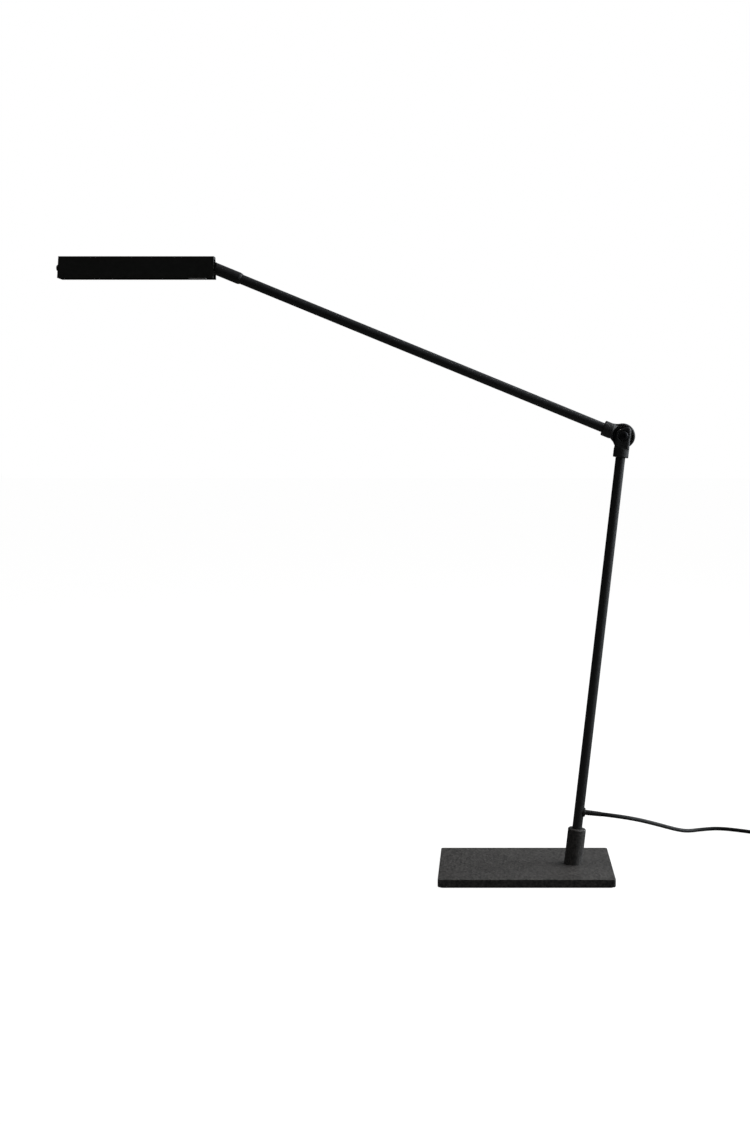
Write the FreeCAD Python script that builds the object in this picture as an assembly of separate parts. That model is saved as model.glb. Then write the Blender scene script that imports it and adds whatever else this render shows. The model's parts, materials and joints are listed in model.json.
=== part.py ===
import FreeCAD
import Part
import math
import os

# A two-arm desk lamp with a slim bar head, in millimetres.
# The origin is the centre of the base's underside, +X runs away from the head, +Y to the
# back and +Z up.  The lamp stands with its arm over the -X side.

Vector = FreeCAD.Vector
X_AXIS = Vector(1, 0, 0)
Y_AXIS = Vector(0, 1, 0)
Z_AXIS = Vector(0, 0, 1)

# Base
base_length = 210.0
base_depth = 145.0
plate_thickness = 9.4
plate_corner_radius = 3.0
plate_top_edge_break = 0.5
plate_under_edge_radius = 1.6
pad_thickness = 1.0
pad_inset = 3.0
plate_top = pad_thickness + plate_thickness

# Stem and the collar that holds it
stem_outer = 12.0
stem_wall = 1.2
stem_lean = 6.67
stem_foot_from_end = 46.8
collar_outer = 22.0
collar_length = 42.8
collar_socket_depth = 30.0
collar_rim_chamfer = 0.8
collar_screw_diameter = 4.0
collar_screw_spread = 13.0
collar_screw_reach = 8.0
screw_head_diameter = 7.0
screw_head_height = 2.6
screw_head_clearance = 0.4
stem_grub_diameter = 5.0
stem_grub_depth_below_rim = 14.0
seat_gap = 0.05

# Elbow, measured from its tilt axis
elbow_along_stem = 525.7
sleeve_outer = 19.0
sleeve_near = 15.0
sleeve_far = 26.7
stem_end_below_axis = 18.5
spigot_length = 27.0
lead_passage = 5.0
cheek_half_width = 9.2
cheek_thickness = 8.5
cheek_peak_height = 11.8
cheek_peak_aside = 5.2
cheek_front_round = 2.0
root_web_reach = 5.4
root_web_rise = 1.3
joint_face_gap = 0.3
hinge_disc_radius = 15.4
hinge_disc_thickness = 9.7
hinge_disc_edge_round = 1.2
hinge_rim_width = 2.7
hinge_hub_radius = 9.0
hinge_recess_depth = 2.0
hinge_back_recess_depth = 1.5
hinge_sweep_clearance = 0.4
arm_lowest_tilt = 30.0
bolt_diameter = 6.0
bolt_cap_diameter = 11.4
bolt_cap_height = 3.1
bolt_cap_dome = 1.2
bolt_cap_pocket_depth = 1.6
bolt_cap_pocket_gap = 0.8
bolt_socket_across_flats = 4.0
bolt_socket_depth = 1.8
friction_washer_radius = 8.4
disc_spring_outer = 12.4
disc_spring_thickness = 0.9
disc_spring_count = 2
nut_across_flats = 10.0
nut_height = 5.0
nut_dome_radius = 4.6
swivel_groove_width = 4.0
swivel_groove_depth = 0.6
swivel_grub_diameter = 3.0
swivel_grub_below_axis = 22.6
running_gap = 0.05
thread_tip_gap = 0.2

# Arm
arm_rise = 22.31
arm_outer = 12.0
arm_wall = 1.2
arm_sleeve_near = 14.0
arm_sleeve_far = 26.2
arm_socket_start = 15.5
sleeve_edge_chamfer = 0.6

# Neck between the arm and the head
neck_outer = 14.6
tilt_axis_along_arm = 544.96
neck_shoulder_to_axis = 6.96
neck_sleeve_length = 34.0
neck_cone_length = 3.0
neck_cone_end_wall = 0.4
neck_end_wall = 10.0
neck_bore_end_gap = 0.5
tongue_thickness = 9.0
neck_groove_after_start = 10.0
neck_wire_hole = 2.2

# Head, a trapezoid bar open underneath
head_length = 189.3
head_height = 27.0
head_under_width = 23.5
head_top_width = 13.0
head_wall = 1.4
head_edge_round = 0.9
end_cap_thickness = 2.0
cap_spigot_depth = 1.5
cap_spigot_wall = 1.0
tilt_axis_to_rear = 5.0
tilt_axis_above_rim = 15.0
neck_slot_top = 8.5
neck_slot_shoulder = 4.3
neck_slot_side_gap = 0.4
ledge_height = 5.2
ledge_thickness = 1.0
ledge_width = 1.3
diffuser_thickness = 2.0
diffuser_side_gap = 0.3
board_height = 13.2
board_thickness = 1.6
board_width = 12.0
board_end_gap = 16.0
chip_length = 3.5
chip_width = 2.8
chip_thickness = 0.8
chip_count = 18
spreader_thickness = 2.0
spreader_side_gap = 0.15
spreader_rear_setback = 15.0
driver_length = 62.0
driver_width = 10.0
driver_height = 7.2
driver_to_front = 42.0
terminal_length = 16.0
terminal_width = 9.0
terminal_height = 6.5
terminal_bore = 3.0
terminal_behind_driver = 6.0
service_cover_length = 19.7
service_cover_rear_setback = 11.3
service_cover_thickness = 1.5
service_cover_side_gap = 0.2
tilt_pin_diameter = 4.0
tilt_pin_length = 13.7
tilt_washer_outer = 9.0
tilt_washer_thickness = 0.5
cheek_plate_thickness = 1.5
bracket_eye_radius = 5.6
bracket_rear_reach = 2.6
bracket_foot_length = 14.0
bracket_foot_thickness = 1.5
bracket_screw_diameter = 3.0
bracket_screw_head = 5.4
bracket_screw_head_height = 1.6

# Push button on the head's front end
button_diameter = 7.8
button_proud = 3.9
button_dome = 1.5
button_gap = 0.2
button_above_rim = 13.2
button_travel = 2.0
button_flange_radius = 5.0
button_flange_thickness = 1.0
button_plunger_radius = 1.5
switch_length = 8.0
switch_width = 10.0
switch_height = 9.0
switch_setback = 5.6
switch_well_depth = 3.2

# Mains cord
cord_diameter = 5.0
gland_height = 73.3
gland_flange_diameter = 11.0
gland_flange_thickness = 1.4
gland_shank_diameter = 7.6
gland_nose_length = 20.0
gland_nose_root_diameter = 6.4
gland_nose_end_diameter = 5.5
gland_inner_end = 2.9
lead_diameter = 4.2
lead_bend_radius = 2.9
arm_lead_diameter = 4.0
lead_wall_gap = 0.2
cord_bend_share = 0.45
coil_outer_radius = 38.4
coil_pitch = 5.6
coil_layer_step = 5.6
coil_half_turns_in = 7
plug_boot_length = 24.0
plug_boot_root_radius = 4.6
plug_boot_end_radius = 3.2
plug_boot_rings = 5
plug_boot_ring_depth = 0.5
plug_body_length = 38.0
plug_width = 35.3
plug_thickness = 13.7
plug_rear_width = 15.0
plug_rear_thickness = 11.0
plug_grip_start = 26.0
plug_pin_radius = 2.0
plug_pin_length = 19.0
plug_pin_root_spacing = 18.6
plug_pin_tip_spacing = 17.5
plug_pin_tip_round = 0.8


def rod(radius, start, direction, length):
    return Part.makeCylinder(radius, length, start, direction)


def ring(outer_radius, inner_radius, start, direction, length):
    return rod(outer_radius, start, direction, length).cut(rod(inner_radius, start, direction, length))


def block(low, high):
    return Part.makeBox(high.x - low.x, high.y - low.y, high.z - low.z, low)


def corner_arc(before, corner, after, radius):
    """The two tangent points and the middle of a round at a corner."""
    u = (before - corner).normalize()
    v = (after - corner).normalize()
    half = u.getAngle(v) / 2
    inwards = (u + v).normalize()
    setback = radius / math.tan(half)
    centre = corner + inwards * (radius / math.sin(half))
    return corner + u * setback, centre - inwards * radius, corner + v * setback


def rounded_outline(corners):
    """A closed wire through (point, radius) corners; radius 0 leaves a corner sharp."""
    ends = []
    for i, (corner, radius) in enumerate(corners):
        before = corners[i - 1][0]
        after = corners[(i + 1) % len(corners)][0]
        if radius:
            ends.append(corner_arc(before, corner, after, radius))
        else:
            ends.append((corner, None, corner))
    edges = []
    for i, (start, middle, end) in enumerate(ends):
        if middle:
            edges.append(Part.Arc(start, middle, end).toShape())
        following = ends[(i + 1) % len(ends)][0]
        if end.distanceToPoint(following) > 1e-6:
            edges.append(Part.LineSegment(end, following).toShape())
    return Part.Wire(edges)


def prism(corners, depth):
    return Part.Face(rounded_outline(corners)).extrude(depth)


def turned(profile, origin, axis, side):
    """A solid of revolution through (distance along the axis, radius) points."""
    points = [origin + axis * along + side * radius for along, radius in profile]
    face = Part.Face(Part.makePolygon(points + [points[0]]))
    return face.revolve(origin, axis, 360)


def hexagon(across_flats, start, direction, side, depth):
    other = direction.cross(side)
    radius = across_flats / math.sqrt(3)
    corners = []
    for i in range(6):
        angle = math.radians(60 * i)
        corners.append((start + side * (radius * math.cos(angle)) + other * (radius * math.sin(angle)), 0))
    return prism(corners, direction * depth)


def arc_between(start, meeting, end):
    """The arc from start to end whose two end tangents cross at meeting."""
    chord_middle = (start + end) * 0.5
    half_chord = start.distanceToPoint(end) / 2
    rise = meeting - chord_middle
    height = rise.Length
    radius = half_chord * math.sqrt(half_chord**2 + height**2) / height
    middle = chord_middle + rise * ((radius - half_chord**2 / height) / height)
    return Part.Arc(start, middle, end).toShape()


def swept(edges, radius):
    """A round tube along edges that follow each other, and its path's length."""
    path = Part.Wire(edges)
    first = edges[0]
    start = first.valueAt(first.FirstParameter)
    tangent = first.tangentAt(first.FirstParameter)
    section = Part.Wire([Part.makeCircle(radius, start, tangent)])
    return path.makePipeShell([section], True, False), path.Length


# Directions and places that the pieces share

lean = math.radians(stem_lean)
up_stem = Vector(math.sin(lean), 0, math.cos(lean))
stem_right = Vector(math.cos(lean), 0, -math.sin(lean))
stem_foot = Vector(base_length / 2 - stem_foot_from_end, 0, plate_top)
elbow = stem_foot + up_stem * elbow_along_stem

rise = math.radians(arm_rise)
along_arm = Vector(-math.cos(rise), 0, math.sin(rise))
above_arm = Vector(math.sin(rise), 0, math.cos(rise))
tilt_axis = elbow + along_arm * tilt_axis_along_arm

head_rear = tilt_axis.x + tilt_axis_to_rear
head_front = head_rear - head_length
head_rim = tilt_axis.z - tilt_axis_above_rim
head_slope = (head_under_width - head_top_width) / 2 / head_height
wall_across = head_wall * math.sqrt(1 + head_slope**2)
profile_front = head_front + end_cap_thickness
profile_rear = head_rear - end_cap_thickness

neck_shoulder = tilt_axis_along_arm - neck_shoulder_to_axis
neck_start = neck_shoulder - neck_sleeve_length
arm_tube_end = neck_shoulder - neck_end_wall
stem_start = collar_length - collar_socket_depth
stem_end = elbow_along_stem - stem_end_below_axis
stem_radius = stem_outer / 2
arm_radius = arm_outer / 2
sleeve_radius = sleeve_outer / 2
neck_radius = neck_outer / 2
cheek_sweep = math.hypot(cheek_peak_height, cheek_peak_aside)


def beside_elbow(right, back, up):
    """A place measured from the elbow's tilt axis, square to the stem."""
    return elbow + stem_right * right + Y_AXIS * back + up_stem * up


def on_stem(along):
    return stem_foot + up_stem * along


def on_arm(along):
    return elbow + along_arm * along


def inner_half_width(height):
    """Half the head's inside width at a height above its rim."""
    return head_under_width / 2 - wall_across - head_slope * height


# Base pieces


def base_pad():
    half_length = base_length / 2 - pad_inset
    half_depth = base_depth / 2 - pad_inset
    places = [(-1, -1), (1, -1), (1, 1), (-1, 1)]
    corners = [(Vector(x * half_length, y * half_depth, 0), plate_corner_radius) for x, y in places]
    return prism(corners, Z_AXIS * pad_thickness)


def screw_places():
    return [Vector(stem_foot.x, side * collar_screw_spread / 2, 0) for side in (-1, 1)]


def collar_screws():
    screws = []
    for place in screw_places():
        head_start = place + Z_AXIS * (pad_thickness + screw_head_clearance)
        head = rod(screw_head_diameter / 2, head_start, Z_AXIS, screw_head_height)
        shank_start = head_start + Z_AXIS * screw_head_height
        shank_length = plate_top + collar_screw_reach - shank_start.z
        socket = hexagon(2.5, head_start, Z_AXIS, X_AXIS, screw_head_height / 2)
        screws.append(head.cut(socket).fuse(rod(collar_screw_diameter / 2, shank_start, Z_AXIS, shank_length)))
    return Part.makeCompound(screws)


def base_plate():
    half_length = base_length / 2
    half_depth = base_depth / 2
    places = [(-1, -1), (1, -1), (1, 1), (-1, 1)]
    corners = [
        (Vector(x * half_length, y * half_depth, pad_thickness), plate_corner_radius) for x, y in places
    ]
    plate = prism(corners, Z_AXIS * plate_thickness)
    top_edges = [e for e in plate.Edges if e.BoundBox.ZMin > plate_top - 0.01]
    plate = plate.makeFillet(plate_top_edge_break, top_edges)
    under_edges = [e for e in plate.Edges if e.BoundBox.ZMax < pad_thickness + 0.01]
    plate = plate.makeFillet(plate_under_edge_radius, under_edges)
    for place in screw_places():
        pocket_radius = screw_head_diameter / 2 + screw_head_clearance
        pocket_depth = screw_head_height + screw_head_clearance
        plate = plate.cut(rod(pocket_radius, place + Z_AXIS * pad_thickness, Z_AXIS, pocket_depth))
        plate = plate.cut(rod(collar_screw_diameter / 2, place, Z_AXIS, plate_top + 1))
    return plate


def stem_grub_start():
    return on_stem(collar_length - stem_grub_depth_below_rim) + Y_AXIS * (stem_radius + seat_gap)


def stem_grub():
    length = collar_outer / 2 - stem_radius - seat_gap - 0.6
    screw = rod(stem_grub_diameter / 2, stem_grub_start(), Y_AXIS, length)
    socket_start = stem_grub_start() + Y_AXIS * (length - 1.5)
    return screw.cut(hexagon(2.5, socket_start, Y_AXIS, X_AXIS, 2.0))


def collar():
    outer = collar_outer / 2
    profile = [
        (-outer, 0),
        (-outer, outer),
        (collar_length - collar_rim_chamfer, outer),
        (collar_length, outer - collar_rim_chamfer),
        (collar_length, 0),
    ]
    body = turned(profile, stem_foot, up_stem, stem_right)
    below = block(
        Vector(stem_foot.x - collar_outer, -collar_outer, plate_top - 2 * collar_outer),
        Vector(stem_foot.x + collar_outer, collar_outer, plate_top),
    )
    body = body.cut(below)
    body = body.cut(rod(stem_radius + seat_gap, on_stem(stem_start), up_stem, collar_length))
    for place in screw_places():
        hole_depth = collar_screw_reach + 1
        body = body.cut(rod(collar_screw_diameter / 2, place + Z_AXIS * plate_top, Z_AXIS, hole_depth))
    return body.cut(rod(stem_grub_diameter / 2, stem_grub_start(), Y_AXIS, collar_outer))


def stem_tube():
    length = stem_end - stem_start
    tube = ring(stem_radius, stem_radius - stem_wall, on_stem(stem_start), up_stem, length)
    groove_start = elbow_along_stem - swivel_grub_below_axis - swivel_groove_width / 2
    groove = ring(
        stem_radius + 1,
        stem_radius - swivel_groove_depth,
        on_stem(groove_start),
        up_stem,
        swivel_groove_width,
    )
    return tube.cut(groove).cut(rod(gland_shank_diameter / 2, gland_axis_start(), stem_right, stem_outer))


# Cord pieces


def gland_axis_start():
    return on_stem((gland_height - plate_top) / math.cos(lean))


def cord_gland():
    start = gland_axis_start()
    shank = gland_shank_diameter / 2
    flange = gland_flange_diameter / 2
    flange_end = stem_radius + gland_flange_thickness
    profile = [
        (gland_inner_end, 0),
        (gland_inner_end, shank),
        (stem_radius - stem_wall, shank),
        (stem_radius - stem_wall, flange),
        (flange_end - 0.5, flange),
        (flange_end, flange - 0.5),
        (flange_end, gland_nose_root_diameter / 2),
        (flange_end + gland_nose_length, gland_nose_end_diameter / 2),
        (flange_end + gland_nose_length, 0),
    ]
    body = turned(profile, start, stem_right, up_stem)
    wall_ring = ring(
        stem_radius, stem_radius - stem_wall, start - up_stem * collar_outer, up_stem, 2 * collar_outer
    )
    hole = rod(shank, start, stem_right, stem_outer)
    inside = rod(stem_radius - stem_wall, start - up_stem * collar_outer, up_stem, 2 * collar_outer)
    return body.cut(wall_ring.cut(hole)).cut(inside.cut(hole))


def stem_lead():
    turn_start = gland_axis_start() + stem_right * lead_bend_radius
    corner = gland_axis_start()
    turn_end = corner + up_stem * lead_bend_radius
    top = on_stem(stem_end - 0.5)
    edges = [arc_between(turn_start, corner, turn_end), Part.LineSegment(turn_end, top).toShape()]
    lead, _ = swept(edges, lead_diameter / 2)
    return lead


def cord_start():
    return gland_axis_start() + stem_right * (stem_radius + gland_flange_thickness + gland_nose_length)


def cord_route():
    """The free stretch: off the gland, down to the table, and along it to the coil."""
    start = cord_start()
    laid = [
        (47.2, 22.0, 58.2),
        (74.7, 62.0, 42.6),
        (96.7, 108.0, 26.6),
        (114.2, 149.0, 13.4),
        (129.7, 180.5, 4.4),
        (148.2, 196.5, 2.5),
        (174.7, 204.0, 2.5),
        (211.2, 185.0, 2.5),
        (237.2, 167.5, 2.5),
        (263.2, 155.5, 2.5),
    ]
    route = [start, start + stem_right * 19.0]
    return route + [Vector(start.x + ahead, start.y + back, height) for ahead, back, height in laid]


def tube_along(points, label):
    """Straight runs joined by tangent arcs, as large as the runs allow."""
    edges = []
    place = points[0]
    radii = []
    for before, corner, after in zip(points, points[1:], points[2:]):
        half_turn = (corner - before).getAngle(after - corner) / 2
        shorter = min(before.distanceToPoint(corner), corner.distanceToPoint(after))
        radius = cord_bend_share * shorter / math.tan(half_turn)
        radii.append(round(radius))
        start, middle, end = corner_arc(before, corner, after, radius)
        edges.append(Part.LineSegment(place, start).toShape())
        edges.append(Part.Arc(start, middle, end).toShape())
        place = end
    edges.append(Part.LineSegment(place, points[-1]).toShape())
    tube, length = swept(edges, cord_diameter / 2)
    expected = math.pi * cord_diameter**2 / 4 * length
    print(f"{label}: length {length:.1f}, radii {radii}, volume over expected {tube.Volume / expected:.4f}")
    return tube, length


def quarter_turn(start, heading, across, radius, climb):
    """A quarter turn; one that climbs is two arcs, so that its ends stay level."""
    end = start + (heading + across) * radius + Z_AXIS * climb
    if not climb:
        return [arc_between(start, start + heading * radius, end)], end
    span = (end - start).dot(heading + across)
    reach = (math.sqrt(span**2 + 2 * (end - start).dot(end - start)) - span) / 2
    corner_in = start + heading * reach
    corner_out = end - across * reach
    middle = (corner_in + corner_out) * 0.5
    return [arc_between(start, corner_in, middle), arc_between(middle, corner_out, end)], end


def coil_path():
    """Two spirals of half turns, the upper one on the lower, joined by a quarter turn that climbs."""
    route = cord_route()
    heading = (route[-1] - route[-2]).normalize()
    place = route[-1] + heading * cord_diameter
    edges = [Part.LineSegment(route[-1], place).toShape()]
    inwards = [coil_outer_radius - i * coil_pitch / 2 for i in range(coil_half_turns_in + 1)]
    quarters = []
    for radius in inwards[:-1]:
        quarters += [(radius, 0), (radius, 0)]
    quarters += [(inwards[-1], 0), (inwards[-1], coil_layer_step), (inwards[-1], 0), (inwards[-1], 0)]
    for radius in inwards[-3:0:-1]:
        quarters += [(radius, 0), (radius, 0)]
    quarters.append((coil_outer_radius, 0))
    across = heading.cross(Z_AXIS)
    for radius, climb in quarters:
        arcs, place = quarter_turn(place, heading, across, radius, climb)
        edges += arcs
        heading, across = across, heading * -1
    end = place + heading * cord_diameter
    edges.append(Part.LineSegment(place, end).toShape())
    return edges, end, heading


def least_gap(edges):
    """The least clearance between one turn and another, tested on points of the path."""
    points = Part.Wire(edges).discretize(Distance=2.0)
    apart = int(4 * cord_diameter / 2.0)
    least = min(
        points[i].distanceToPoint(points[j])
        for i in range(len(points))
        for j in range(i + apart, len(points))
    )
    return least - cord_diameter


def cord_coil():
    edges, _, _ = coil_path()
    coil, length = swept(edges, cord_diameter / 2)
    print(f"cord_coil: length {length:.1f}, least gap between turns {least_gap(edges):.2f}")
    return coil, length


def tail_route():
    """From the coil's top layer down to the table and up into the plug's boot."""
    _, start, heading = coil_path()
    left = Z_AXIS.cross(heading)
    floor = cord_diameter / 2
    entry = plug_thickness / 2
    steps = [
        (0, 0, start.z),
        (13, 0.6, start.z - 0.6),
        (28, 0, floor + 1.4),
        (43, 1.8, floor),
        (57, 5.5, floor + 1.6),
        (70, 10.5, entry),
        (80, 14.0, entry),
    ]
    at_floor = Vector(start.x, start.y, 0)
    return [at_floor + heading * ahead + left * aside + Z_AXIS * height for ahead, aside, height in steps]


def plug_frame():
    """Where the plug's boot starts, the way it points and its left."""
    route = tail_route()
    forward = (route[-1] - route[-2]).normalize()
    return route[-1], forward, Z_AXIS.cross(forward)


def plug_boot():
    start, forward, _ = plug_frame()
    profile = [(0, 0), (0, plug_boot_end_radius)]
    step = plug_boot_length / (plug_boot_rings + 1)
    growth = (plug_boot_root_radius - plug_boot_end_radius) / plug_boot_length
    for i in range(1, plug_boot_rings + 1):
        middle = i * step
        for along in (middle - step * 0.3, middle - step * 0.12, middle + step * 0.12, middle + step * 0.3):
            in_groove = abs(along - middle) < step * 0.2
            radius = plug_boot_end_radius + growth * along - (plug_boot_ring_depth if in_groove else 0)
            profile.append((along, radius))
    profile += [(plug_boot_length, plug_boot_root_radius), (plug_boot_length, 0)]
    return turned(profile, start, forward, Z_AXIS)


def plug_section(along, width, thickness):
    start, forward, left = plug_frame()
    half_width = width / 2
    half_thick = thickness / 2
    flat = half_width - half_thick * 0.62
    outline = [
        (flat, half_thick),
        (half_width, half_thick * 0.35),
        (half_width, -half_thick * 0.35),
        (flat, -half_thick),
    ]
    outline += [(-across, up) for across, up in outline[::-1]]
    middle = start + forward * (plug_boot_length + along)
    points = [middle + left * across + Z_AXIS * up for across, up in outline]
    return Part.makePolygon(points + [points[0]])


def plug_body():
    sections = [
        plug_section(0, plug_rear_width, plug_rear_thickness),
        plug_section(plug_grip_start * 0.55, plug_width * 0.62, plug_thickness * 0.94),
        plug_section(plug_grip_start, plug_width, plug_thickness),
        plug_section(plug_body_length, plug_width, plug_thickness),
    ]
    return Part.makeLoft(sections, True, True)


def plug_pins():
    start, forward, left = plug_frame()
    face = start + forward * (plug_boot_length + plug_body_length)
    pins = []
    for side in (-1, 1):
        root = face + left * (side * plug_pin_root_spacing / 2)
        tip = face + forward * plug_pin_length + left * (side * plug_pin_tip_spacing / 2)
        along = (tip - root).normalize()
        length = root.distanceToPoint(tip)
        profile = [
            (0, 0),
            (0, plug_pin_radius),
            (length - plug_pin_tip_round, plug_pin_radius),
            (length, plug_pin_radius - plug_pin_tip_round),
            (length, 0),
        ]
        pins.append(turned(profile, root, along, Z_AXIS))
    return Part.makeCompound(pins)


# Elbow pieces


def elbow_lower():
    """The swivelling casting on the stem: a sleeve, a spigot inside the stem and one cheek."""
    chamfer = sleeve_edge_chamfer
    sleeve_profile = [
        (-sleeve_far, 0),
        (-sleeve_far, sleeve_radius - chamfer),
        (-sleeve_far + chamfer, sleeve_radius),
        (-sleeve_near - chamfer, sleeve_radius),
        (-sleeve_near, sleeve_radius - chamfer),
        (-sleeve_near * 0.5, sleeve_radius - 2 * chamfer),
        (-sleeve_near * 0.5, 0),
    ]
    sleeve = turned(sleeve_profile, elbow, up_stem, stem_right)
    roof = stem_end_below_axis - running_gap * 4
    socket = ring(
        stem_radius + running_gap,
        stem_radius - stem_wall - running_gap,
        beside_elbow(0, 0, -sleeve_far - spigot_length),
        up_stem,
        sleeve_far + spigot_length - roof,
    )
    front = -joint_face_gap - cheek_thickness
    cheek_corners = [
        (beside_elbow(-cheek_half_width, front, -sleeve_near - chamfer), 0),
        (beside_elbow(cheek_half_width, front, -sleeve_near - chamfer), 0),
        (beside_elbow(cheek_half_width, front, cheek_peak_height - 3.4), 3.0),
        (beside_elbow(cheek_peak_aside, front, cheek_peak_height), 2.8),
        (beside_elbow(cheek_peak_aside - 4.0, front, cheek_peak_height - 1.2), 3.0),
        (beside_elbow(-cheek_half_width, front, cheek_half_width * 0.45), 6.5),
    ]
    cheek = prism(cheek_corners, Y_AXIS * cheek_thickness)
    sweep = rod(
        hinge_disc_radius + hinge_sweep_clearance, elbow - Y_AXIS * joint_face_gap, Y_AXIS, 2 * sleeve_outer
    )
    front_edges = [
        e
        for e in cheek.Edges
        if e.BoundBox.YMax < elbow.y + front + 0.01 and e.BoundBox.ZMax > elbow.z - sleeve_near / 2
    ]
    cheek = cheek.makeFillet(cheek_front_round, front_edges)
    spigot = rod(
        stem_radius - stem_wall - running_gap,
        beside_elbow(0, 0, -stem_end_below_axis - spigot_length),
        up_stem,
        spigot_length + 1,
    )
    lowest = math.radians(arm_rise - arm_lowest_tilt)
    lowest_arm = Vector(-math.cos(lowest), 0, math.sin(lowest))
    relief = rod(sleeve_radius + hinge_sweep_clearance, elbow, lowest_arm, arm_sleeve_far)
    relief = relief.cut(rod(cheek_sweep, elbow - Y_AXIS * sleeve_outer, Y_AXIS, 2 * sleeve_outer))
    body = sleeve.cut(socket).cut(sweep).fuse(cheek).cut(relief).fuse(spigot)
    body = body.cut(
        rod(
            lead_passage / 2,
            beside_elbow(0, 0, -stem_end_below_axis - spigot_length - 1),
            up_stem,
            spigot_length + 1.8,
        )
    )
    body = body.cut(rod(bolt_diameter / 2, elbow - Y_AXIS * (2 * cheek_thickness), Y_AXIS, 3 * cheek_thickness))
    pocket_radius = bolt_cap_diameter / 2 + bolt_cap_pocket_gap
    pocket = rod(pocket_radius, elbow + Y_AXIS * (front + bolt_cap_pocket_depth), Y_AXIS * -1, cheek_thickness)
    body = body.cut(pocket)
    return body.cut(rod(swivel_grub_diameter / 2, swivel_grub_start(), Y_AXIS, sleeve_outer))


def swivel_grub_start():
    tip = stem_radius - swivel_groove_depth + thread_tip_gap
    return beside_elbow(0, tip, -swivel_grub_below_axis)


def grub(start, direction, side, diameter, length):
    socket_start = start + direction * (length * 0.6)
    return rod(diameter / 2, start, direction, length).cut(
        hexagon(diameter / 2, socket_start, direction, side, length)
    )


def swivel_grub():
    tip = stem_radius - swivel_groove_depth + thread_tip_gap
    return grub(swivel_grub_start(), Y_AXIS, X_AXIS, swivel_grub_diameter, sleeve_radius - tip - 0.4)


def hinge_back():
    """How far behind the joint's middle the washers sit on the disc."""
    return joint_face_gap + hinge_disc_thickness - hinge_back_recess_depth


def pivot_bolt():
    front = -joint_face_gap - cheek_thickness + bolt_cap_pocket_depth
    cap_radius = bolt_cap_diameter / 2
    nut_back = hinge_back() + disc_spring_thickness * disc_spring_count + nut_height
    profile = [
        (nut_back, 0),
        (nut_back, bolt_diameter / 2),
        (front, bolt_diameter / 2),
        (front, cap_radius),
        (front - bolt_cap_height + bolt_cap_dome, cap_radius),
        (front - bolt_cap_height + bolt_cap_dome * 0.4, cap_radius - 0.9),
        (front - bolt_cap_height, cap_radius - 2.6),
        (front - bolt_cap_height, 0),
    ]
    bolt = turned(profile, elbow, Y_AXIS, X_AXIS)
    socket_start = elbow + Y_AXIS * (front - bolt_cap_height)
    return bolt.cut(hexagon(bolt_socket_across_flats, socket_start, Y_AXIS, X_AXIS, bolt_socket_depth))


def friction_washer():
    thickness = 2 * joint_face_gap - running_gap
    return ring(
        friction_washer_radius,
        bolt_diameter / 2 + running_gap,
        elbow - Y_AXIS * joint_face_gap,
        Y_AXIS,
        thickness,
    )


def disc_springs():
    springs = []
    for i in range(disc_spring_count):
        start = hinge_back() + running_gap + i * disc_spring_thickness
        cone = disc_spring_thickness * (0.35 if i % 2 else -0.35)
        inner = bolt_diameter / 2 + running_gap
        outer = disc_spring_outer / 2
        thick = disc_spring_thickness - abs(cone) - running_gap
        lift = max(0, -cone)
        sink = max(0, cone)
        profile = [
            (start + lift, inner),
            (start + lift + thick, inner),
            (start + sink + thick, outer),
            (start + sink, outer),
        ]
        springs.append(turned(profile, elbow, Y_AXIS, X_AXIS))
    return Part.makeCompound(springs)


def pivot_nut():
    start = hinge_back() + disc_spring_thickness * disc_spring_count + running_gap
    nut = hexagon(nut_across_flats, elbow + Y_AXIS * start, Y_AXIS, X_AXIS, nut_height)
    dome_profile = [
        (start + nut_height, 0),
        (start + nut_height, nut_dome_radius),
        (start + nut_height + 2.2, nut_dome_radius - 0.5),
        (start + nut_height + 3.8, nut_dome_radius - 2.0),
        (start + nut_height + 4.3, 0),
    ]
    nut = nut.fuse(turned(dome_profile, elbow, Y_AXIS, X_AXIS))
    return nut.cut(rod(bolt_diameter / 2, elbow + Y_AXIS * start, Y_AXIS, nut_height))


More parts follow.
